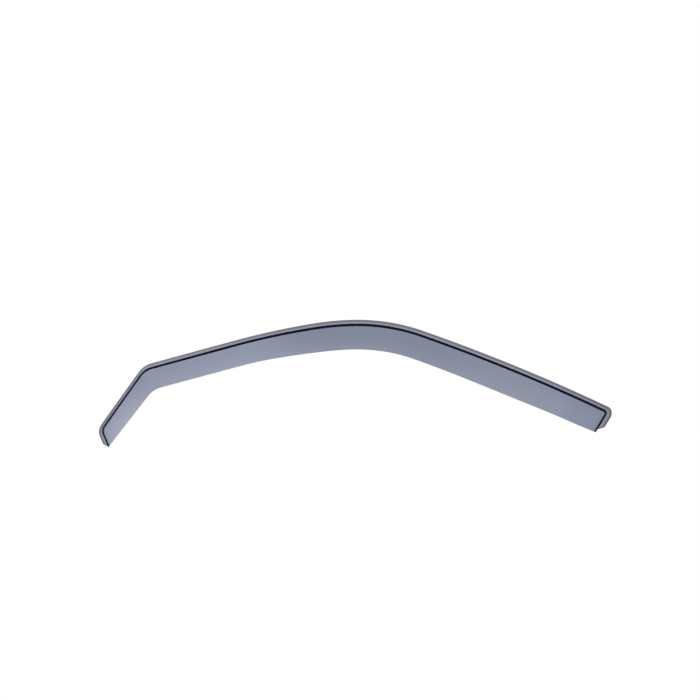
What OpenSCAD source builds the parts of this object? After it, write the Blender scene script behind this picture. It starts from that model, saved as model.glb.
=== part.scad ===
// Window rain deflector for a car's front door: one strip of smoke-tinted acrylic.
// A flange slips up into the window channel, a shoulder steps out past the door frame, and the visor
// hangs from the shoulder over the top of the side window. X runs from the rear end to the front end,
// Z is up and -Y faces away from the car. The origin is on the flange's inner face, at the crown.

/* [Sheet] */
// Thickness of the acrylic
sheet_t = 2.6; // [2.2:0.1:3.2]
// Rounding of the polished free edges
edge_r = 0.8; // [0.4:0.1:1]

/* [Flange] */
// Thickness of the milled tongue along the flange's free edge
tongue_t = 1.8; // [1.4:0.1:2]
// Width of the milled tongue
tongue_w = 3.5; // [2:0.25:4.5]
// Flange at the crown, from the middle of the shoulder to the free edge
flange_crown = 9.2; // [8:0.1:12]
// Flange along the front leg
flange_front = 9.4; // [8:0.1:12]
// Flange at the front corner
flange_corner = 12; // [8:0.1:14]
// Flange down the front end
flange_front_end = 11.7; // [8:0.1:13]
// Flange along the roof run
flange_roof = 8.5; // [7.5:0.1:11]
// Flange along the rear leg
flange_leg = 7.2; // [6:0.1:9]
// Flange down the rear end
flange_rear = 8.9; // [6.5:0.1:12]
// How far above the front tip the flange starts to be cut away
front_cut = 16.5; // [11:0.5:24]
// How far above the rear tip the flange starts to be cut away
rear_cut = 7.5; // [4:0.5:12]

/* [Shoulder line] */
// Radius of the crown towards the front
crown_front_r = 336; // [300:1:380]
// Turn of the crown towards the front
crown_front_turn = 19.3; // [17:0.1:22]
// Length of the front leg, along the windscreen pillar
front_leg = 346.5; // [300:1:400]
// Turn of the front leg over its length
front_leg_turn = 5.8; // [2:0.1:8]
// Radius of the front corner
front_corner_r = 5.5; // [3.4:0.1:8]
// Turn of the front corner
front_corner_turn = 96.5; // [88:0.5:104]
// Radius of the crown towards the rear
crown_rear_r = 464; // [400:1:520]
// Turn of the crown towards the rear
crown_rear_turn = 8.6; // [6:0.1:11]
// Radius of the curve between crown and roof run
roof_r = 1286; // [1000:1:1600]
// Turn of the curve between crown and roof run
roof_turn = 6.6; // [4:0.1:9]
// Length of the straight roof run
roof_run = 151.3; // [110:1:190]
// Radius of the kink where the roof run meets the rear leg
kink_r = 35; // [28:1:50]
// Turn of the kink
kink_turn = 39; // [34:0.5:44]
// Length of the rear leg
rear_leg = 109; // [90:1:130]
// Radius of the rear corner
rear_corner_r = 15; // [10:0.5:18]
// Turn of the rear corner
rear_corner_turn = 58.5; // [50:0.5:66]

/* [Shoulder] */
// Room between the flange's plane and the visor's inner face at the shoulder
shoulder_h = 9; // [6:0.1:12]
// Thickness of the shoulder's wall at the crown
wall_crown = 4.8; // [3.4:0.1:5.2]
// Thickness of the wall along the front leg
wall_front = 4.4; // [3.2:0.1:5]
// Thickness of the wall down the front end
wall_front_end = 3.4; // [2.8:0.1:4.4]
// Thickness of the wall at the front end of the roof run
wall_roof = 4.3; // [3:0.1:4.8]
// Thickness of the wall at the kink
wall_kink = 3.8; // [3:0.1:4.8]
// Thickness of the wall along the rear leg
wall_leg = 3.4; // [2.8:0.1:4.4]
// Radius of the bends at the wall's foot and at its top
bend_r = 0.6; // [0.4:0.1:1]

/* [Visor] */
// Depth of the visor at the crown, from the middle of the shoulder to the lower edge
depth_crown = 42.7; // [38:0.1:48]
// Depth at the middle of the front leg
depth_front = 44.4; // [38:0.1:50]
// Depth before the front corner
depth_front_end = 42.6; // [38:0.1:46]
// Depth at the front corner
depth_front_tip = 41; // [36:0.1:44]
// Depth at the front end of the roof run
depth_roof = 37.4; // [33:0.1:43]
// Depth at the rear end of the roof run
depth_kink = 37; // [33:0.1:43]
// Depth at the upper end of the rear leg
depth_leg = 33; // [28:0.1:36]
// Depth at the rear corner
depth_rear_end = 28.1; // [25:0.1:32]
// Radius of the lower edge at the kink
kink_edge_r = 42; // [30:1:55]
// How much further out the lower edge stands along the crown and the front leg
flare = 10; // [6:0.5:14]
// How much further out the lower edge stands along the roof run
roof_flare = 8; // [5:0.5:12]
// How much further out the lower edge stands at both ends
end_flare = 1.5; // [0.5:0.5:4]
// Height of the visor's bulge across its depth, as a share of its flare
bulge = 0.16; // [0:0.02:0.24]

/* [Side window] */
// Radius of the window's curve seen from above
plan_r = 6000; // [4000:100:12000]
// Radius of the window's curve seen from the front of the car
barrel_r = 1600; // [1200:50:3000]

/* [Hidden] */

// Stretch of the lower edge that each end's columns share, and the stretch over which they lean there
front_fan = 34;
rear_fan = 32;
lean_in = 140;
// Shortest column, back along the lower edge from each tip
tip_column = 7;
// Ledge left beside the wall where the flange is cut away, and its length at each tip
ledge = 0.5;
front_stub = 6;
rear_stub = 1.3;
// Stretch over which the section turns to end flush with the lower edge
skew_reach = 4;
// Share of the way from the crown to the roof run over which the visor keeps the crown's depth
crown_hold = 0.15;
// Middle of the door opening, where its curve stands furthest out
arch_x = -10;
arch_z = -110;
// Longest step along a straight run, and how far a chord may leave its arc
step_max = 38;
chord_gap = 0.03;
bend_steps = 3;
visor_rows = 6;
// Place of a rounded edge's middle point
q = 1 - sqrt(0.5);
// Most that the rounding, the tongue and the ramp behind it take of the flange where it narrows
round_share = 0.2;
tongue_share = 0.64;
ramp_share = 0.08;
// Most that a rounding takes of the thickness it is cut from, along the tongue and at the tips
thick_share = 0.4;
close_share = 0.35;
flange_mid = (wall_crown / 2 + flange_crown) / 2;

function rad(a) = a * PI / 180;
function forward(h) = [cos(h), -sin(h)];
function outward(h) = [sin(h), cos(h)];
function unit(v) = v / norm(v);
function mix(a, b, t) = a + (b - a) * t;
function ease(t) = let (c = max(0, min(1, t))) c * c * (3 - 2 * c);
function flat(lists) = [for (l = lists) each l];
function side(u, v) = u[0] * v[1] - u[1] * v[0];
// How far from p along u the line through q along v is met
function meet(p, u, q, v) = side(q - p, v) / side(u, v);

// A value that eases from one [distance, value] pair of a table to the next
function along(table, s, i = 0) =
    s <= table[i][0] || i == len(table) - 1 ? table[i][1]
    : s < table[i + 1][0]
        ? mix(table[i][1], table[i + 1][1], ease((s - table[i][0]) / (table[i + 1][0] - table[i][0])))
    : along(table, s, i + 1);

// The shoulder line runs down from the crown to both ends as a chain of [length, turn] legs.
// A pose is [x, z, heading], with x growing away from the crown and the heading turning down.
function arc(r, turn) = [r * rad(turn), turn];
function advance(p, leg, d) =
    let (h = p[2] + leg[1] * d / leg[0])
    leg[1] == 0
        ? [each place(p) + d * forward(p[2]), h]
        : let (r = leg[0] / rad(leg[1]))
          [p[0] + r * (sin(h) - sin(p[2])), p[1] - r * (cos(p[2]) - cos(h)), h];
function pose(legs, d, i = 0, p = [0, 0, 0]) =
    d <= legs[i][0] || i == len(legs) - 1
        ? advance(p, legs[i], d)
        : pose(legs, d - legs[i][0], i + 1, advance(p, legs[i], legs[i][0]));
function sum_to(legs, n) = n == 0 ? 0 : legs[n - 1][0] + sum_to(legs, n - 1);
function place(p) = [p[0], p[1]];
function below(p, depth) = place(p) - depth * outward(p[2]);

// Front side: crown, front leg, corner and front end, down to the tip on the lower edge
front_bare = [arc(crown_front_r, crown_front_turn), [front_leg, front_leg_turn],
              arc(front_corner_r, front_corner_turn), [1, 0]];
front_s = [for (n = [0:3]) sum_to(front_bare, n)];
front_depths = [[front_s[1], depth_crown], [mix(front_s[1], front_s[2], 0.5), depth_front],
                [front_s[2] - front_fan, depth_front_end], [front_s[2], depth_front_tip]];
function front_edge(s) = below(pose(front_bare, s), along(front_depths, s));
front_fan_at = front_edge(front_s[2] - front_fan);
front_run = unit(front_edge(front_s[2]) - front_fan_at);
front_turned = pose(front_bare, front_s[3]);
front_end = meet(place(front_turned), forward(front_turned[2]), front_fan_at, front_run);
front_tip = place(front_turned) + front_end * forward(front_turned[2]);
front_legs = [for (n = [0:3]) n < 3 ? front_bare[n] : [front_end, 0]];
front_total = front_s[3] + front_end;
function front_lean(s) =
    let (past = s - (front_s[2] - lean_in))
    past < 0 ? s : s - past * front_fan / lean_in;
function front_lower(s) =
    s <= front_s[2]
        ? front_edge(front_lean(s))
        : mix(front_fan_at, front_tip - tip_column * front_run,
              (s - front_s[2]) / (front_total - front_s[2]));

// Rear side: crown, roof, kink, rear leg, corner and rear end
rear_bare = [arc(crown_rear_r, crown_rear_turn), arc(roof_r, roof_turn), [roof_run, 0],
             arc(kink_r, kink_turn), [rear_leg, 0], arc(rear_corner_r, rear_corner_turn), [1, 0]];
rear_s = [for (n = [0:6]) sum_to(rear_bare, n)];
rear_depths = [[crown_hold * rear_s[2], depth_crown], [rear_s[2], depth_roof]];
roof_from = below(pose(rear_bare, rear_s[2]), depth_roof);
roof_dir = unit(below(pose(rear_bare, rear_s[3]), depth_kink) - roof_from);
leg_top = below(pose(rear_bare, rear_s[4]), depth_leg);
leg_dir = unit(below(pose(rear_bare, rear_s[5]), depth_rear_end) - leg_top);
kink_edge_turn = acos(roof_dir * leg_dir);
kink_corner = roof_from + meet(roof_from, roof_dir, leg_top, leg_dir) * roof_dir;
kink_from = kink_corner - kink_edge_r * tan(kink_edge_turn / 2) * roof_dir;
kink_pose = [kink_from[0], kink_from[1], -atan2(roof_dir[1], roof_dir[0])];
kink_leg = arc(kink_edge_r, kink_edge_turn);
function kink_point(t) = place(advance(kink_pose, kink_leg, t * kink_leg[0]));
rear_turned = pose(rear_bare, rear_s[6]);
rear_end = meet(place(rear_turned), forward(rear_turned[2]), leg_top, leg_dir);
rear_tip = place(rear_turned) + rear_end * forward(rear_turned[2]);
rear_fan_at = rear_tip - rear_fan * leg_dir;
rear_legs = [for (n = [0:6]) n < 6 ? rear_bare[n] : [rear_end, 0]];
rear_total = rear_s[6] + rear_end;
function share(s, n) = (s - rear_s[n]) / (rear_s[n + 1] - rear_s[n]);
function rear_lower(s) =
    s <= rear_s[2] ? below(pose(rear_bare, s), along(rear_depths, s))
    : s <= rear_s[3] ? mix(roof_from, kink_from, share(s, 2))
    : s <= rear_s[4] ? kink_point(share(s, 3))
    : s <= rear_s[5] ? mix(kink_point(1), rear_fan_at, share(s, 4))
    : mix(rear_fan_at, rear_tip - tip_column * leg_dir, (s - rear_s[5]) / (rear_total - rear_s[5]));

// Flange width, wall thickness and flare along each side
front_widths = [[0, flange_crown], [front_s[1], flange_front], [front_s[2], flange_front],
                [mix(front_s[2], front_s[3], 0.5), flange_corner], [front_s[3], flange_front_end]];
rear_widths = [[0, flange_crown], [rear_s[2], flange_roof], [rear_s[3], flange_roof],
               [rear_s[4], flange_leg], [rear_s[5], flange_leg], [rear_s[6], flange_rear]];
front_walls = [[0, wall_crown], [front_s[1], wall_front], [front_s[2], wall_front],
               [front_s[3], wall_front_end]];
rear_walls = [[0, wall_crown], [rear_s[2], wall_roof], [rear_s[3], wall_kink], [rear_s[4], wall_leg]];
function cut_back(w, least, left, cut, stub) = mix(least, w, max(0, min(1, (left - stub) / (cut - stub))));
front_flares = [[front_s[2] - lean_in, flare], [front_total, end_flare]];
rear_flares = [[0, flare], [rear_s[2], roof_flare], [rear_s[4], roof_flare], [rear_total, end_flare]];

// Distances of the sections along one side; they crowd in the bends and at the tip
function leg_stations(legs, i) =
    let (turn = rad(legs[i][1]), from = sum_to(legs, i),
         fine = turn == 0 ? 1 : turn / sqrt(8 * chord_gap / (legs[i][0] / turn + flange_front)),
         n = ceil(max(fine, legs[i][0] / step_max)))
    [for (k = [0:n - 1]) from + legs[i][0] * k / n];
function stations(legs, total, cut, stub) =
    let (last = len(legs) - 1, from = total - legs[last][0])
    concat(flat([for (i = [0:last - 1]) leg_stations(legs, i)]),
           [from, mix(from, total - cut, 0.5), total - cut, total - (cut + stub) / 2, total - stub],
           [for (d = [1, q, 0] * edge_r) total - d]);

// One section is a pair of matched skins, outer and inner, from the flange's free edge over the
// shoulder to the lower edge. Points are [across, out] from the shoulder line on the flange's plane.
function drop(d) = d >= edge_r ? 0 : edge_r - sqrt(edge_r * edge_r - pow(edge_r - d, 2));
function foot(corner, r) =
    [for (k = [0:bend_steps]) let (a = 270 - 90 * k / bend_steps) corner + r * [1 + cos(a), 1 + sin(a)]];
function head(corner, turn) =
    [for (k = [0:bend_steps]) let (a = turn * k / bend_steps)
        corner + bend_r * [cos(a) - 1, sin(a) - tan(turn / 2)]];
function flange_outer(w, half) =
    let (room = w - half, r = min(edge_r, round_share * room, thick_share * tongue_t),
         end = w - min(tongue_w, tongue_share * room))
    [[w, tongue_t - r], [w - q * r, tongue_t - q * r], [w - r, tongue_t], [end, tongue_t],
     [end - min(thick_share * (sheet_t - tongue_t), ramp_share * room), sheet_t],
     each foot([half, sheet_t], min(bend_r, round_share * room))];
function flange_inner(w, half) =
    let (room = w - half, r = min(edge_r, round_share * room, thick_share * tongue_t),
         end = w - min(tongue_w, tongue_share * room))
    [[w, r], [w - q * r, q * r], [w - r, 0], [end, 0], [end - ramp_share * room, 0],
     each foot([-half, 0], bend_r)];

// The window's curve, and a point of one side moved into it; way is 1 for the front, -1 for the rear
function window(x, z) =
    pow(x - arch_x, 2) / (2 * plan_r) + pow(z - arch_z, 2) / (2 * barrel_r);
function world(way, p, out) =
    let (x = way * p[0], z = p[1] - flange_mid)
    [x, window(x, z) - window(0, 0) - out, z];

// Both skins at one section. The visor's columns run from the shoulder to the lower edge.
function swell(t) = t + 4 * bulge * t * (1 - t);
function skins(way, p, lower, w, half, lift, left, edge_dir) =
    let (at = place(p), deep = norm(lower - at), down = (lower - at) / deep,
         turned = ease((skew_reach - left) / (skew_reach - edge_r)),
         across = outward(p[2])
             + turned * (edge_dir * forward(p[2])) / (edge_dir * outward(p[2])) * forward(p[2]),
         tilt = lift * (1 + 4 * bulge) / deep, lean = atan(tilt),
         start = shoulder_h - tilt * half + sheet_t / cos(lean),
         outer = [each flange_outer(w, half), each head([half, start - tilt * half], 90 - lean)],
         inner = [each flange_inner(w, half), each head([-half, shoulder_h], 90 - lean)],
         n = len(outer) - 1,
         end_lean = atan(lift * (1 - 4 * bulge) / deep),
         top = [at + outer[n][0] * across, at + inner[n][0] * across],
         foot_of = [lower, lower + sheet_t * sin(end_lean) * down],
         length = [norm(foot_of[0] - top[0]), norm(foot_of[1] - top[1])],
         pair = [for (i = [0:1]) [
             for (e = [for (k = [1:visor_rows]) mix(length[i], edge_r, k / visor_rows), q * edge_r, 0])
                 let (pt = mix(foot_of[i], top[i], e / length[i]), t = ((pt - at) * down) / deep,
                      slope = lift * (1 + 4 * bulge * (1 - 2 * t)) / deep)
                 world(way, pt, start + lift * swell(t) - i * sheet_t * sqrt(1 + slope * slope)
                       - (1 - 2 * i) * drop(e))]],
         o = [for (c = outer) world(way, at + c[0] * across, c[1]), each pair[0]],
         u = [for (c = inner) world(way, at + c[0] * across, c[1]), each pair[1]])
    [[for (k = [0:len(o) - 1]) closed_in(o[k], u[k], left)],
     [for (k = [0:len(o) - 1]) closed_in(u[k], o[k], left)]];
// Near a tip both skins close in on each other, which rounds the cut edge
function closed_in(a, b, left) = a + min(drop(left), close_share * norm(b - a)) * unit(b - a);

function front_skins(s) =
    let (left = front_total - s, half = along(front_walls, s) / 2)
    skins(1, pose(front_legs, s), front_lower(s),
          cut_back(along(front_widths, s), half + ledge, left, front_cut, front_stub), half,
          along(front_flares, s), left, front_run);
function rear_skins(s) =
    let (left = rear_total - s, half = along(rear_walls, s) / 2)
    skins(-1, pose(rear_legs, s), rear_lower(s),
          cut_back(along(rear_widths, s), half + ledge, left, rear_cut, rear_stub), half,
          along(rear_flares, s), left, leg_dir);

// The strip is lofted from the rear tip over the crown to the front tip
module deflector() {
    front_at = stations(front_legs, front_total, front_cut, front_stub);
    rear_at = stations(rear_legs, rear_total, rear_cut, rear_stub);
    pairs = [for (i = [len(rear_at) - 1:-1:1]) rear_skins(rear_at[i]),
             for (s = front_at) front_skins(s)];
    k = len(pairs[0][0]);
    last = len(pairs) - 1;
    loop = 2 * k;
    rings = [for (p = pairs) [each p[0], for (i = [k - 1:-1:0]) p[1][i]]];
    skin = [for (i = [0:last - 1], j = [0:loop - 1])
        let (a = i * loop + j, b = i * loop + (j + 1) % loop)
        each [[a, b + loop, b], [a, a + loop, b + loop]]];
    caps = [for (j = [0:k - 2])
        let (a = j, b = j + 1, c = loop - 2 - j, d = loop - 1 - j, e = last * loop)
        each [[a, b, c], [a, c, d], [a + e, c + e, b + e], [a + e, d + e, c + e]]];
    color([0.24, 0.25, 0.29])
        polyhedron(points = flat(rings), faces = concat(skin, caps), convexity = 6);
}

deflector();
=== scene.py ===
"""Dresses the window rain deflector: a smoke-tinted acrylic strip seen from outside the car."""
import math

import bpy
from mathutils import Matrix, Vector


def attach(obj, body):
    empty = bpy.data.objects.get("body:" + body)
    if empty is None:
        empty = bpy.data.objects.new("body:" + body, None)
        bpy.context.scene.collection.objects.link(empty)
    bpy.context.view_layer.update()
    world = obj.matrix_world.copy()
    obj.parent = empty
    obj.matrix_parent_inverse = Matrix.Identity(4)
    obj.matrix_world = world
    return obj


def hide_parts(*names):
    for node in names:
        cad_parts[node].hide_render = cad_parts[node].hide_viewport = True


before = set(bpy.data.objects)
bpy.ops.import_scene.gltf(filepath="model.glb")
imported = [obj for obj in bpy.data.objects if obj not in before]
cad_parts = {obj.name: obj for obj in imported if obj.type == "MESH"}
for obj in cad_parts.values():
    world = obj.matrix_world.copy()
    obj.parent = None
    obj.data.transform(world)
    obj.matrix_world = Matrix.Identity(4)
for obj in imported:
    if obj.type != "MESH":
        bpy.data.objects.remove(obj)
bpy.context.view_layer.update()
scene = bpy.context.scene

# Camera
# A long lens square to the strip's outer face. 90 mm at 3.06 m covers 1.225 m, which puts the strip
# at its own place and size in the picture.
camera = bpy.data.objects.new("camera", bpy.data.cameras.new("camera"))
scene.collection.objects.link(camera)
camera.location = (-0.0132, -3.0625, -0.0495)
camera.rotation_euler = (math.radians(90), 0, 0)
camera.data.lens = 90
camera.data.sensor_width = 36
camera.data.clip_start = 0.1
camera.data.clip_end = 60
scene.camera = camera

# Strip
# One moulded piece of smoke-tinted acrylic sheet. Its flange, which has a thin milled tongue, is pushed
# up into the lip of the window channel. The shoulder steps out past the door frame, and the visor hangs
# from it over the top of the side window.

# Guide of the strip: the shoulder line from the rear tip over the crown to the front tip, as tangent
# arcs and straight runs, in millimetres. Each of its points keeps what the strip's section needs there.
quarter = math.pi / 2


def walk(legs, s):
    at, turned = Vector((0, 0)), 0.0
    for n, (length, turn) in enumerate(legs):
        d = s if n == len(legs) - 1 else min(s, length)
        after = turned + math.radians(turn) * d / length
        if turn:
            r = length / math.radians(turn)
            at += r * Vector((math.sin(after) - math.sin(turned), math.cos(after) - math.cos(turned)))
        else:
            at += d * Vector((math.cos(turned), -math.sin(turned)))
        turned = after
        s -= d
        if s <= 0:
            break
    return at, Vector((math.cos(turned), -math.sin(turned))), Vector((math.sin(turned), math.cos(turned)))


def below(legs, s, depth):
    at, _, out = walk(legs, s)
    return at - depth * out


def meet(p, u, q, v):
    return (q - p).cross(v) / u.cross(v)


def ease(t):
    t = max(0.0, min(1.0, t))
    return t * t * (3 - 2 * t)


def along(table, s):
    value = table[0][1]
    for (s0, v0), (s1, v1) in zip(table, table[1:]):
        if s > s0:
            value = v0 + (v1 - v0) * ease((s - s0) / (s1 - s0))
    return value


def arc(radius, turn):
    return [radius * math.radians(turn), turn]


def sums(legs):
    return [sum(leg[0] for leg in legs[:n]) for n in range(len(legs))]


# What both sides share. Depths and flange widths start at the middle of the shoulder, and a flare is how
# much further out the lower edge stands. The visor's columns fan out over a stretch of the lower edge at
# each end, lean in before the front end, and the last one before each tip is tip_column long.
depth_crown = 42.7
flange_crown = 9.2
wall_crown = 4.8
flare_crown = 10
flare_tip = 1.5
lean_in = 140
tip_column = 7

# Front side: crown, front leg, corner and front end, down to the tip on the lower edge
crown_front_r = 336
crown_front_turn = 19.3
front_leg = 346.5
front_leg_turn = 5.8
front_corner_r = 5.5
front_corner_turn = 96.5
depth_front = 44.4
depth_front_end = 42.6
depth_front_tip = 41
flange_front = 9.4
flange_corner = 12
flange_front_end = 11.7
wall_front = 4.4
wall_front_end = 3.4
front_fan = 34
front_cut = 16.5
front_stub = 6
front = [arc(crown_front_r, crown_front_turn), [front_leg, front_leg_turn],
         arc(front_corner_r, front_corner_turn), [1, 0]]
front_s = sums(front)
front_depths = [[front_s[1], depth_crown], [(front_s[1] + front_s[2]) / 2, depth_front],
                [front_s[2] - front_fan, depth_front_end], [front_s[2], depth_front_tip]]
front_fan_at = below(front, front_s[2] - front_fan, depth_front_end)
front_run = (below(front, front_s[2], depth_front_tip) - front_fan_at).normalized()
front_turned, front_down, _ = walk(front, front_s[3])
front[3][0] = meet(front_turned, front_down, front_fan_at, front_run)
front_tip = front_turned + front[3][0] * front_down
front_total = front_s[3] + front[3][0]
front_widths = [[0, flange_crown], [front_s[1], flange_front], [front_s[2], flange_front],
                [(front_s[2] + front_s[3]) / 2, flange_corner], [front_s[3], flange_front_end]]
front_walls = [[0, wall_crown], [front_s[1], wall_front], [front_s[2], wall_front],
               [front_s[3], wall_front_end]]
front_flares = [[front_s[2] - lean_in, flare_crown], [front_total, flare_tip]]


def front_lower(s):
    if s <= front_s[2]:
        past = max(0, s - front_s[2] + lean_in)
        s -= past * front_fan / lean_in
        return below(front, s, along(front_depths, s))
    return front_fan_at.lerp(front_tip - tip_column * front_run,
                             (s - front_s[2]) / (front_total - front_s[2]))


# Rear side: crown, roof run, kink, rear leg, corner and rear end
crown_rear_r = 464
crown_rear_turn = 8.6
roof_r = 1286
roof_turn = 6.6
roof_run = 151.3
kink_r = 35
kink_turn = 39
rear_leg = 109
rear_corner_r = 15
rear_corner_turn = 58.5
crown_hold = 0.15
depth_roof = 37.4
depth_kink = 37
depth_leg = 33
depth_rear_end = 28.1
kink_edge_r = 42
flange_roof = 8.5
flange_leg = 7.2
flange_rear = 8.9
wall_roof = 4.3
wall_kink = 3.8
wall_leg = 3.4
flare_roof = 8
rear_fan = 32
rear_cut = 7.5
rear_stub = 1.3
rear = [arc(crown_rear_r, crown_rear_turn), arc(roof_r, roof_turn), [roof_run, 0],
        arc(kink_r, kink_turn), [rear_leg, 0], arc(rear_corner_r, rear_corner_turn), [1, 0]]
rear_s = sums(rear)
rear_depths = [[crown_hold * rear_s[2], depth_crown], [rear_s[2], depth_roof]]
roof_from = below(rear, rear_s[2], depth_roof)
roof_dir = (below(rear, rear_s[3], depth_kink) - roof_from).normalized()
leg_top = below(rear, rear_s[4], depth_leg)
leg_dir = (below(rear, rear_s[5], depth_rear_end) - leg_top).normalized()
kink_edge = arc(kink_edge_r, math.degrees(roof_dir.angle(leg_dir)))
kink_corner = roof_from + meet(roof_from, roof_dir, leg_top, leg_dir) * roof_dir
kink_from = kink_corner - kink_edge_r * math.tan(math.radians(kink_edge[1] / 2)) * roof_dir
rear_turned, rear_down, _ = walk(rear, rear_s[6])
rear[6][0] = meet(rear_turned, rear_down, leg_top, leg_dir)
rear_tip = rear_turned + rear[6][0] * rear_down
rear_fan_at = rear_tip - rear_fan * leg_dir
rear_total = rear_s[6] + rear[6][0]
rear_widths = [[0, flange_crown], [rear_s[2], flange_roof], [rear_s[3], flange_roof],
               [rear_s[4], flange_leg], [rear_s[5], flange_leg], [rear_s[6], flange_rear]]
rear_walls = [[0, wall_crown], [rear_s[2], wall_roof], [rear_s[3], wall_kink], [rear_s[4], wall_leg]]
rear_flares = [[0, flare_crown], [rear_s[2], flare_roof], [rear_s[4], flare_roof], [rear_total, flare_tip]]


def kink_point(share):
    local = walk([kink_edge], share * kink_edge[0])[0]
    return kink_from + local.x * roof_dir + local.y * Vector((-roof_dir.y, roof_dir.x))


def rear_lower(s):
    def share(n):
        return (s - rear_s[n]) / (rear_s[n + 1] - rear_s[n])
    if s <= rear_s[2]:
        return below(rear, s, along(rear_depths, s))
    if s <= rear_s[3]:
        return roof_from.lerp(kink_from, share(2))
    if s <= rear_s[4]:
        return kink_point(share(3))
    if s <= rear_s[5]:
        return kink_point(1).lerp(rear_fan_at, share(4))
    return rear_fan_at.lerp(rear_tip - tip_column * leg_dir, (s - rear_s[5]) / (rear_total - rear_s[5]))


# Points of the guide crowd in its bends, where the flange is cut away down to a ledge, and where the tip
# is rounded. Near a tip the section turns, to end flush with the lower edge.
free_edge_r = 0.8
ledge = 0.5
skew_reach = 4
chord_gap = 0.005
step_max = 25
step_min = 0.5
cut_steps = 3
round_steps = 4


def guide_points(way, legs, lower, widths, walls, flares, cut, stub, edge_dir):
    total = sum(leg[0] for leg in legs)
    stops = []
    for start, (length, turn) in zip(sums(legs), legs):
        angle = math.radians(turn)
        fine = angle / math.sqrt(8 * chord_gap / (length / angle + flange_front)) if turn else 1
        n = math.ceil(max(fine, length / step_max))
        stops += [start + length * k / n for k in range(n)]
    stops = [s for s in stops if s < total - cut - step_min]
    stops += [total - cut + (cut - stub) * k / cut_steps for k in range(cut_steps + 1)]
    rounding = [math.sin(quarter * k / round_steps) for k in range(round_steps + 1)]
    stops += [total - free_edge_r * (1 - rounded) for rounded in rounding]
    points = []
    for s in stops:
        left = total - s
        at, ahead, out = walk(legs, s)
        turned = ease((skew_reach - left) / (skew_reach - free_edge_r))
        across = out + turned * edge_dir.dot(ahead) / edge_dir.dot(out) * ahead
        half = along(walls, s) / 2
        kept = max(0.0, min(1.0, (left - stub) / (cut - stub)))
        flange = half + ledge + kept * (along(widths, s) - half - ledge)
        point = {"flange": flange, "half": half, "lift": along(flares, s), "left": left, "run": way * s}
        for name, v in (("at", at), ("across", across), ("lower", lower(s))):
            point[name] = Vector((way * v[0], 0, v[1]))
        points.append(point)
    return points


rear_points = guide_points(-1, rear, rear_lower, rear_widths, rear_walls, rear_flares,
                           rear_cut, rear_stub, leg_dir)
front_points = guide_points(1, front, front_lower, front_widths, front_walls, front_flares,
                            front_cut, front_stub, front_run)
points = rear_points[:0:-1] + front_points
drop = Vector((0, 0, (wall_crown / 2 + flange_crown) / 2))
guide = bpy.data.meshes.new("guide")
guide.from_pydata([(p["at"] - drop) / 1000 for p in points], [], [])
for name in ("across", "lower"):
    stored = guide.attributes.new(name, "FLOAT_VECTOR", "POINT")
    for n, p in enumerate(points):
        stored.data[n].vector = p[name] if name == "across" else (p[name] - drop) / 1000
for name in ("flange", "half", "lift", "left", "run"):
    stored = guide.attributes.new(name, "FLOAT", "POINT")
    for n, p in enumerate(points):
        stored.data[n].value = p[name] / 1000
strip = bpy.data.objects.new("strip", guide)
scene.collection.objects.link(strip)

# Section of the strip: its points in order from the flange's free edge to the visor's lower edge. Each
# has a zone (edge, tongue, foot, head or visor), its share of that zone and its turn round a free edge.
bend_steps = 6
visor_shares = (0.015, 0.12, 0.24, 0.36, 0.5, 0.64, 0.78, 0.9, 0.985, 1)
section = [(0, 0, quarter * k / round_steps) for k in range(round_steps + 1)]
section += [(1, 0, 0), (1, 1, 0)]
section += [(bend, k / bend_steps, 0) for bend in (2, 3) for k in range(bend_steps + 1)]
section += [(4, share, 0) for share in visor_shares]
section += [(4, 1, quarter * k / round_steps) for k in range(1, round_steps + 1)]
section_mesh = bpy.data.meshes.new("section")
section_mesh.from_pydata([(0, 0, 0)] * len(section), [], [])
for k, name in enumerate(("zone", "share", "turn")):
    stored = section_mesh.attributes.new(name, "FLOAT", "POINT")
    for n, p in enumerate(section):
        stored.data[n].value = p[k]
section_object = bpy.data.objects.new("section", section_mesh)
scene.collection.objects.link(section_object)

# Loft of the strip: a box of grid points, one row for each point of the guide and one column for each
# point of the section, is bent into the strip. One side is the outer skin and the other the inner skin.
tree = bpy.data.node_groups.new("deflector_loft", "GeometryNodeTree")
tree.is_modifier = True
ports = tree.interface
ports.new_socket("Guide", in_out="INPUT", socket_type="NodeSocketGeometry")
ports.new_socket("Section", in_out="INPUT", socket_type="NodeSocketObject")
ports.new_socket("Material", in_out="INPUT", socket_type="NodeSocketMaterial")
sizes = {"Sheet": 0.0026, "Edge radius": free_edge_r / 1000, "Bend radius": 0.0006,
         "Tongue thickness": 0.0018, "Tongue width": 0.0035, "Shoulder height": 0.009, "Bulge": 0.16,
         "Plan radius": 6.0, "Barrel radius": 1.6, "Arch middle X": -0.010, "Arch middle Z": -0.110}
for name, value in sizes.items():
    ports.new_socket(name, in_out="INPUT", socket_type="NodeSocketFloat").default_value = value
ports.new_socket("Strip", in_out="OUTPUT", socket_type="NodeSocketGeometry")


def filled(node, values):
    for socket, value in zip(node.inputs, values):
        if isinstance(value, bpy.types.NodeSocket):
            tree.links.new(value, socket)
        elif value is not None:
            socket.default_value = value
    return node


def put(kind, *values, **settings):
    node = tree.nodes.new(kind)
    for name, value in settings.items():
        setattr(node, name, value)
    return filled(node, values)


def calc(operation, *values):
    return put("ShaderNodeMath", *values, operation=operation).outputs[0]


def vect(operation, *values):
    node = put("ShaderNodeVectorMath", *values, operation=operation)
    return node.outputs["Value" if operation in ("LENGTH", "DOT_PRODUCT") else "Vector"]


def scaled(vector, factor):
    node = put("ShaderNodeVectorMath", vector, operation="SCALE")
    tree.links.new(factor, node.inputs["Scale"])
    return node.outputs["Vector"]


def times(*values):
    result = values[0]
    for value in values[1:]:
        result = calc("MULTIPLY", result, value)
    return result


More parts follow.
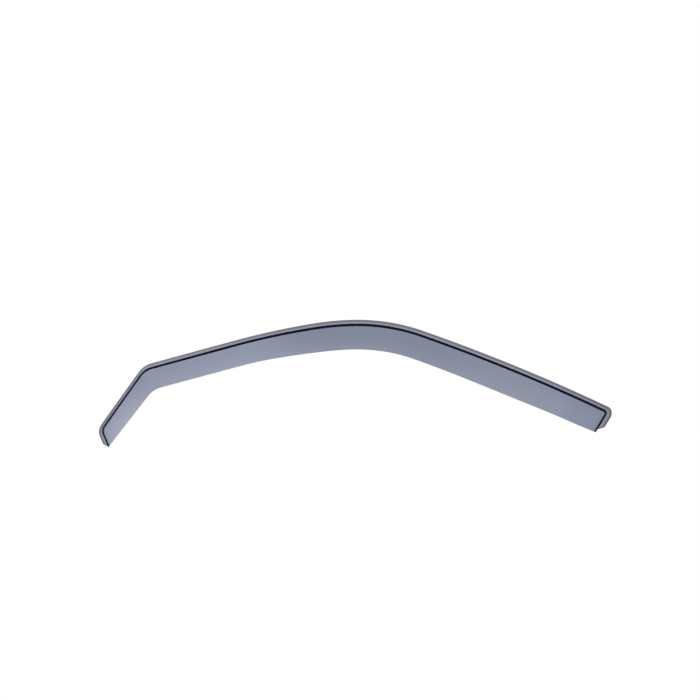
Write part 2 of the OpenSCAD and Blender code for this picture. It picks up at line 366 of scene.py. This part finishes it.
def whole(operation, *values):
    return put("FunctionNodeIntegerMath", *values, operation=operation).outputs[0]


def either(test, yes, no):
    return put("GeometryNodeSwitch", test, no, yes, input_type="FLOAT").outputs[0]


def sampled(mesh, index, value, kind="FLOAT"):
    node = put("GeometryNodeSampleIndex", data_type=kind, domain="POINT")
    for name, socket in (("Geometry", mesh), ("Value", value), ("Index", index)):
        tree.links.new(socket, node.inputs[name])
    return node.outputs[0]


def stored_value(name, kind="FLOAT"):
    return put("GeometryNodeInputNamedAttribute", name, data_type=kind).outputs[0]


given = put("NodeGroupInput").outputs
sheet, edge_r, bend_r = given["Sheet"], given["Edge radius"], given["Bend radius"]
tongue_t, tongue_w = given["Tongue thickness"], given["Tongue width"]
outline = put("GeometryNodeObjectInfo").outputs["Geometry"]
tree.links.new(given["Section"], outline.node.inputs["Object"])
rows = put("GeometryNodeAttributeDomainSize", given["Guide"], component="MESH").outputs["Point Count"]
columns = put("GeometryNodeAttributeDomainSize", outline, component="MESH").outputs["Point Count"]
extent = put("ShaderNodeCombineXYZ", calc("SUBTRACT", rows, 1), calc("SUBTRACT", columns, 1), 1)
box = put("GeometryNodeMeshCube", extent.outputs[0], rows, columns, 2)
layer = whole("MULTIPLY", rows, columns)
index = put("GeometryNodeInputIndex").outputs[0]
in_layer = whole("MODULO", index, layer)
column = whole("DIVIDE_FLOOR", in_layer, rows)
row = whole("MODULO", in_layer, rows)
outer = calc("LESS_THAN", index, layer)
sign = calc("SUBTRACT", calc("MULTIPLY", outer, 2), 1)


def from_guide(name, kind="FLOAT"):
    return sampled(given["Guide"], row, stored_value(name, kind), kind)


def from_section(name):
    return sampled(outline, column, stored_value(name))


position = put("GeometryNodeInputPosition").outputs[0]
at = sampled(given["Guide"], row, position, "FLOAT_VECTOR")
across = from_guide("across", "FLOAT_VECTOR")
lower = from_guide("lower", "FLOAT_VECTOR")
flange, half, lift, left = (from_guide(name) for name in ("flange", "half", "lift", "left"))
zone, share, turn = (from_section(name) for name in ("zone", "share", "turn"))

# Flange: its rounded free edge, the milled tongue, and the bend at the shoulder's foot. Where it narrows,
# the rounding, the tongue and the ramp behind it take no more than their shares of its room.
round_share = 0.2
tongue_share = 0.64
ramp_share = 0.08
thick_share = 0.4
room = calc("SUBTRACT", flange, half)
round_r = calc("MINIMUM", calc("MINIMUM", edge_r, times(room, round_share)), times(tongue_t, thick_share))
edge_across = calc("SUBTRACT", flange, times(round_r, calc("SUBTRACT", 1, calc("COSINE", turn))))
edge_in = times(round_r, calc("SUBTRACT", 1, calc("SINE", turn)))
edge_out = either(outer, calc("SUBTRACT", tongue_t, edge_in), edge_in)
step_up = calc("SUBTRACT", sheet, tongue_t)
ramp = calc("MINIMUM", times(step_up, thick_share), times(room, ramp_share))
tongue_end = calc("SUBTRACT", flange, calc("MINIMUM", tongue_w, times(room, tongue_share)))
tongue_across = calc("SUBTRACT", tongue_end, times(ramp, share))
tongue_out = either(outer, calc("ADD", tongue_t, times(step_up, share)), 0)
foot_r = either(outer, calc("MINIMUM", bend_r, times(room, round_share)), bend_r)
foot_turn = times(share, quarter)
foot_across = calc("ADD", times(sign, half),
                   times(foot_r, calc("SUBTRACT", 1, calc("SINE", foot_turn))))
foot_out = calc("ADD", times(outer, sheet), times(foot_r, calc("SUBTRACT", 1, calc("COSINE", foot_turn))))

# Head: the bend from the shoulder into the visor, which leaves it at the visor's lean
to_edge = vect("SUBTRACT", lower, at)
deep = vect("LENGTH", to_edge)
down = vect("NORMALIZE", to_edge)
bulge4 = times(given["Bulge"], 4)
tilt = calc("DIVIDE", times(lift, calc("ADD", 1, bulge4)), deep)
lean = calc("ARCTANGENT", tilt)
turn_in = calc("SUBTRACT", quarter, lean)
start = calc("ADD", calc("SUBTRACT", given["Shoulder height"], times(tilt, half)),
             calc("DIVIDE", sheet, calc("COSINE", lean)))
head_base = either(outer, calc("SUBTRACT", start, times(tilt, half)), given["Shoulder height"])


def head_reach(part):
    back = times(bend_r, calc("SUBTRACT", calc("COSINE", times(turn_in, part)), 1))
    return calc("ADD", times(sign, half), back)


head_across = head_reach(share)
rise = calc("SUBTRACT", calc("SINE", times(turn_in, share)), calc("TANGENT", times(turn_in, 0.5)))
head_out = calc("ADD", head_base, times(bend_r, rise))

# Visor: columns from the head's end to the rounded lower edge, bulged and leaning outwards
top = vect("ADD", at, scaled(across, head_reach(1)))
end_lean = calc("ARCTANGENT", calc("DIVIDE", times(lift, calc("SUBTRACT", 1, bulge4)), deep))
past = times(calc("SUBTRACT", 1, outer), sheet, calc("SINE", end_lean))
edge_at = vect("ADD", lower, scaled(down, past))
column_run = vect("SUBTRACT", top, edge_at)
reach = vect("LENGTH", column_run)
from_edge = calc("ADD", times(calc("SUBTRACT", reach, edge_r), calc("SUBTRACT", 1, share)),
                 times(edge_r, calc("SUBTRACT", 1, calc("SINE", turn))))
visor_at = vect("ADD", edge_at, scaled(vect("NORMALIZE", column_run), from_edge))
depth = calc("DIVIDE", vect("DOT_PRODUCT", vect("SUBTRACT", visor_at, at), down), deep)
swell = calc("ADD", depth, times(bulge4, depth, calc("SUBTRACT", 1, depth)))
slope = calc("DIVIDE", times(lift, calc("ADD", 1, times(bulge4, calc("SUBTRACT", 1, times(depth, 2))))),
             deep)
through = times(sheet, calc("SQRT", calc("ADD", 1, times(slope, slope))))
visor_skin = calc("SUBTRACT", calc("ADD", start, times(lift, swell)),
                  times(calc("SUBTRACT", 1, outer), through))
visor_out = calc("SUBTRACT", visor_skin, times(sign, edge_r, calc("SUBTRACT", 1, calc("COSINE", turn))))


# Each point takes the place of its zone, then follows the side window's curve
def by_zone(*choices):
    switch = put("GeometryNodeIndexSwitch", data_type="FLOAT")
    while len(switch.index_switch_items) < len(choices):
        switch.index_switch_items.new()
    return filled(switch, (zone, *choices)).outputs[0]


def curved_in(x, z):
    total = 0
    for distance, radius in ((x, given["Plan radius"]), (z, given["Barrel radius"])):
        total = calc("ADD", total, calc("DIVIDE", calc("POWER", distance, 2), times(radius, 2)))
    return total


out = by_zone(edge_out, tongue_out, foot_out, head_out, visor_out)
aside = by_zone(edge_across, tongue_across, foot_across, head_across, 0)
in_visor = calc("GREATER_THAN", zone, 3.5)
flat_at = vect("ADD", at, scaled(across, aside))
placed = put("GeometryNodeSwitch", in_visor, flat_at, visor_at, input_type="VECTOR").outputs[0]
plan = put("ShaderNodeSeparateXYZ", placed).outputs
middle_x, middle_z = given["Arch middle X"], given["Arch middle Z"]
window = curved_in(calc("SUBTRACT", plan["X"], middle_x), calc("SUBTRACT", plan["Z"], middle_z))
bow = calc("SUBTRACT", window, curved_in(middle_x, middle_z))
curved = put("ShaderNodeCombineXYZ", plan["X"], calc("SUBTRACT", bow, out), plan["Z"])
bent = put("GeometryNodeSetPosition", box.outputs["Mesh"], None, curved.outputs[0]).outputs[0]

# The skins close in on each other at both tips, where the cut edge is rounded
close_share = 0.35
over = calc("MAXIMUM", 0, calc("SUBTRACT", edge_r, left))
shrink = calc("SUBTRACT", edge_r, calc("SQRT", calc("SUBTRACT", times(edge_r, edge_r), times(over, over))))
twin_at = sampled(bent, calc("ADD", index, times(sign, layer)), position, "FLOAT_VECTOR")
to_twin = vect("SUBTRACT", twin_at, position)
nearer = calc("MINIMUM", shrink, times(vect("LENGTH", to_twin), close_share))
closed = put("GeometryNodeSetPosition", bent, None, None, scaled(vect("NORMALIZE", to_twin), nearer))

# The milled tongue is marked for its finish, and the strip's own coordinates for its fine grain
milled = times(outer, calc("LESS_THAN", calc("ADD", zone, share), 1.5))
aside_now = either(in_visor, times(depth, deep, -1), aside)
grain = put("ShaderNodeCombineXYZ", from_guide("run"), aside_now, outer)
marked = put("GeometryNodeStoreNamedAttribute", closed.outputs[0], None, "milled", milled,
             data_type="FLOAT", domain="POINT").outputs[0]
marked = put("GeometryNodeStoreNamedAttribute", marked, None, "grain", grain.outputs[0],
             data_type="FLOAT_VECTOR", domain="POINT").outputs[0]
smooth = put("GeometryNodeSetShadeSmooth", marked).outputs[0]
dressed = put("GeometryNodeSetMaterial", put("GeometryNodeRealizeInstances", smooth).outputs[0])
tree.links.new(given["Material"], dressed.inputs["Material"])
tree.links.new(dressed.outputs[0], put("NodeGroupOutput").inputs[0])

# Smoke acrylic of the strip: the tint is in its volume, so the shoulder, which is seen along its depth,
# comes out nearly black, and painted shade in its colour darkens it further. Its faces are polished, with
# faint drawing ripples; the milled tongue is satin.
acrylic = bpy.data.materials.new("smoke_acrylic")
acrylic.use_nodes = True
nodes, links = acrylic.node_tree.nodes, acrylic.node_tree.links
nodes.clear()
shader = nodes.new("ShaderNodeBsdfPrincipled")
shader.inputs["Transmission Weight"].default_value = 1
shader.inputs["IOR"].default_value = 1.49
mask = nodes.new("ShaderNodeAttribute")
mask.attribute_name = "milled"
milled = mask.outputs["Fac"]
grain = nodes.new("ShaderNodeAttribute")
grain.attribute_name = "grain"
place = nodes.new("ShaderNodeSeparateXYZ")
links.new(grain.outputs["Vector"], place.inputs[0])
run, aside = place.outputs["X"], place.outputs["Y"]


def ramped(value, low, high, at_low=0.0, at_high=1.0):
    node = nodes.new("ShaderNodeMapRange")
    node.interpolation_type = "SMOOTHSTEP"
    links.new(value, node.inputs["Value"])
    for name, number in zip(("From Min", "From Max", "To Min", "To Max"), (low, high, at_low, at_high)):
        node.inputs[name].default_value = number
    return node.outputs["Result"]


def blended(factor, first, second, how="MIX"):
    node = nodes.new("ShaderNodeMix")
    node.data_type = "RGBA"
    node.blend_type = how
    for socket, value in ((node.inputs[0], factor), (node.inputs[6], first), (node.inputs[7], second)):
        if isinstance(value, bpy.types.NodeSocket):
            links.new(value, socket)
        else:
            socket.default_value = value if isinstance(value, (int, float)) else (*value, 1)
    return node.outputs[2]


def clouds(along_scale, aside_scale, detail):
    stretched = nodes.new("ShaderNodeVectorMath")
    stretched.operation = "MULTIPLY"
    links.new(grain.outputs["Vector"], stretched.inputs[0])
    stretched.inputs[1].default_value = (along_scale, aside_scale, 1)
    node = nodes.new("ShaderNodeTexNoise")
    node.inputs["Scale"].default_value = 1
    node.inputs["Detail"].default_value = detail
    links.new(stretched.outputs[0], node.inputs["Vector"])
    return node.outputs["Fac"]


# Tone of the visor: deepest at the crown and in the front end, palest on the rear leg, and paler towards
# the lower edge. Places are in metres, along the strip from its crown and across it from the shoulder.
crown_tone = (0.605, 0.62, 0.68)
roof_tone = (0.765, 0.775, 0.83)
front_leg_tone = (0.71, 0.71, 0.755)
front_end_tone = (0.63, 0.65, 0.71)
rear_leg_tone = blended(ramped(aside, -0.004, -0.030), (0.85, 0.82, 0.91), (0.95, 0.93, 0.97))
tone = blended(ramped(run, -0.06, -0.22), crown_tone, roof_tone)
tone = blended(ramped(run, -0.38, -0.47), tone, rear_leg_tone)
tone = blended(ramped(run, 0.10, 0.30), tone, front_leg_tone)
tone = blended(ramped(run, 0.39, 0.44), tone, front_end_tone)
tone = blended(1, tone, ramped(aside, -0.004, -0.040, 1.0, 1.05), "MULTIPLY")
tint_clouds = blended(ramped(clouds(14, 30, 2), 0.35, 0.65), (1, 0.98, 1), (0.97, 1, 0.985))
tone = blended(1, tone, tint_clouds, "MULTIPLY")

# The flange's strip between shoulder and tongue is coloured apart from the visor, deeper at the front
# end. The shoulder's near-black colour is painted shade, for the dark line of its wall seen edge-on. The
# satin tongue lets much less light through.
painted_shoulder_shade = (0.10, 0.125, 0.30)
strip_tone = blended(ramped(run, 0.34, 0.43), (0.755, 0.715, 0.73), (0.63, 0.61, 0.67))
tongue_tone = blended(ramped(run, 0.40, 0.47), (0.15, 0.145, 0.16), (0.09, 0.088, 0.11))
tongue_tone = blended(1, tongue_tone, ramped(clouds(40, 300, 2), 0.3, 0.7, 0.94, 1.06), "MULTIPLY")
# Painted shade: the shoulder band takes the near-black painted shade colour
tone = blended(ramped(aside, -0.0020, -0.0010), tone, painted_shoulder_shade)
tone = blended(ramped(aside, 0.0010, 0.0020), tone, strip_tone)
links.new(blended(milled, tone, tongue_tone), shader.inputs["Base Color"])

smears = ramped(clouds(40, 25, 4), 0.45, 0.75, 0.025, 0.06)
satin = ramped(clouds(40, 300, 2), 0.3, 0.7, 0.4, 0.46)
links.new(blended(milled, smears, satin), shader.inputs["Roughness"])

ripples = nodes.new("ShaderNodeBump")
ripples.inputs["Distance"].default_value = 0.00003
links.new(clouds(12, 90, 1), ripples.inputs["Height"])
cutter_marks = nodes.new("ShaderNodeBump")
cutter_marks.inputs["Distance"].default_value = 0.000004
links.new(milled, cutter_marks.inputs["Strength"])
links.new(clouds(25, 2600, 1), cutter_marks.inputs["Height"])
links.new(ripples.outputs["Normal"], cutter_marks.inputs["Normal"])
links.new(cutter_marks.outputs["Normal"], shader.inputs["Normal"])

tint = nodes.new("ShaderNodeVolumeAbsorption")
tint.inputs["Color"].default_value = (0.12, 0.19, 0.355, 1)
tint.inputs["Density"].default_value = 405
output = nodes.new("ShaderNodeOutputMaterial")
links.new(shader.outputs[0], output.inputs["Surface"])
links.new(tint.outputs[0], output.inputs["Volume"])

# The loft's inputs are set, and its result becomes a plain mesh that stands for the solid strip
loft = strip.modifiers.new("loft", "NODES")
loft.node_group = tree
sockets = {port.name: port.identifier for port in ports.items_tree if port.in_out == "INPUT"}
loft[sockets["Section"]] = section_object
loft[sockets["Material"]] = acrylic
for name, value in sizes.items():
    loft[sockets[name]] = value
bpy.context.view_layer.update()
made = bpy.data.meshes.new_from_object(strip.evaluated_get(bpy.context.evaluated_depsgraph_get()))
strip.modifiers.clear()
strip.data = made
made.name = "strip"
bpy.data.objects.remove(section_object)
bpy.data.meshes.remove(section_mesh)
bpy.data.meshes.remove(guide)
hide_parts("deflector")
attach(strip, "root")

# Floor
# A pale matt disc well below the strip, which hangs by its flange. It is out of the main picture, away
# from the strip's shadow it fades into the white round it, and from underneath it is clear.
floor_z = -1.02
floor_r = 1.9
floor_sides = 96
rim_angles = [2 * math.pi * k / floor_sides for k in range(floor_sides)]
floor_mesh = bpy.data.meshes.new("floor")
floor_mesh.from_pydata([(floor_r * math.cos(a), floor_r * math.sin(a), floor_z) for a in rim_angles],
                       [], [tuple(range(floor_sides))])
floor = bpy.data.objects.new("floor", floor_mesh)
scene.collection.objects.link(floor)
pale = bpy.data.materials.new("pale_floor")
pale.use_nodes = True
nodes, links = pale.node_tree.nodes, pale.node_tree.links
nodes.clear()


def joined(operation, first, second):
    node = nodes.new("ShaderNodeMath")
    node.operation = operation
    links.new(first, node.inputs[0])
    links.new(second, node.inputs[1])
    return node.outputs[0]


def mixed(factor, first, second):
    node = nodes.new("ShaderNodeMixShader")
    for socket, value in zip(node.inputs, (factor, first, second)):
        links.new(value, socket)
    return node.outputs[0]


matt = nodes.new("ShaderNodeBsdfPrincipled")
matt.inputs["Base Color"].default_value = (0.9, 0.9, 0.9, 1)
matt.inputs["Roughness"].default_value = 0.7
white = nodes.new("ShaderNodeEmission")
from_middle = nodes.new("ShaderNodeVectorMath")
from_middle.operation = "DISTANCE"
links.new(nodes.new("ShaderNodeTexCoord").outputs["Object"], from_middle.inputs[0])
from_middle.inputs[1].default_value = (0, 0, floor_z)
faded = ramped(from_middle.outputs["Value"], 0.5, 1.7)
path = nodes.new("ShaderNodeLightPath").outputs
mirrored = joined("MAXIMUM", path["Is Glossy Ray"], path["Is Transmission Ray"])
shown = joined("MAXIMUM", mirrored, path["Is Camera Ray"])
surface = mixed(joined("MULTIPLY", faded, shown), matt.outputs[0], white.outputs[0])
underneath = nodes.new("ShaderNodeNewGeometry").outputs["Backfacing"]
surface = mixed(underneath, surface, nodes.new("ShaderNodeBsdfTransparent").outputs[0])
links.new(surface, nodes.new("ShaderNodeOutputMaterial").inputs["Surface"])
floor_mesh.materials.append(pale)

# World
# White for the camera and for what shows through the acrylic. What its faces mirror is white behind the
# strip and a room in front of it, with a bright horizon, a dark ceiling and dimmer sides.
world = bpy.data.worlds.new("studio")
scene.world = world
world.use_nodes = True
nodes, links = world.node_tree.nodes, world.node_tree.links
nodes.clear()


def glow(colour, strength):
    node = nodes.new("ShaderNodeBackground")
    node.inputs["Color"].default_value = (*colour, 1)
    if isinstance(strength, bpy.types.NodeSocket):
        links.new(strength, node.inputs["Strength"])
    else:
        node.inputs["Strength"].default_value = strength
    return node.outputs[0]


path = nodes.new("ShaderNodeLightPath").outputs
toward = nodes.new("ShaderNodeSeparateXYZ")
links.new(nodes.new("ShaderNodeTexCoord").outputs["Generated"], toward.inputs[0])
right, back, up = toward.outputs
sides = joined("MULTIPLY", ramped(right, -0.28, -0.08, 0.35, 1.0), ramped(right, 0.0, 0.35, 1.0, 0.2))
room = joined("MULTIPLY", ramped(up, 0.05, 0.55, 1.2, 0.08), sides)
mirrored = joined("MAXIMUM", room, ramped(back, 0.0, 0.5, 0.0, 1.0))
around = mixed(path["Is Glossy Ray"], glow((0.9, 0.93, 1), 0.75), glow((1, 1, 1), mirrored))
seen = joined("MAXIMUM", path["Is Camera Ray"], path["Is Transmission Ray"])
surface = mixed(seen, around, glow((1, 1, 1), 1))
links.new(surface, nodes.new("ShaderNodeOutputWorld").inputs["Surface"])

# Lamp
# One broad lamp, high on the left, lights the floor and throws the strip's shadow on it. The polished
# faces mirror the room and not the lamp.
lamp = bpy.data.objects.new("key", bpy.data.lights.new("key", "AREA"))
lamp.data.shape = "SQUARE"
lamp.data.size = 1.6
lamp.data.energy = 60
lamp.location = (-2.0, -1.0, 2.2)
lamp.rotation_euler = (-lamp.location).to_track_quat("-Z", "Y").to_euler()
lamp.visible_glossy = False
scene.collection.objects.link(lamp)

scene.view_settings.view_transform = "Standard"
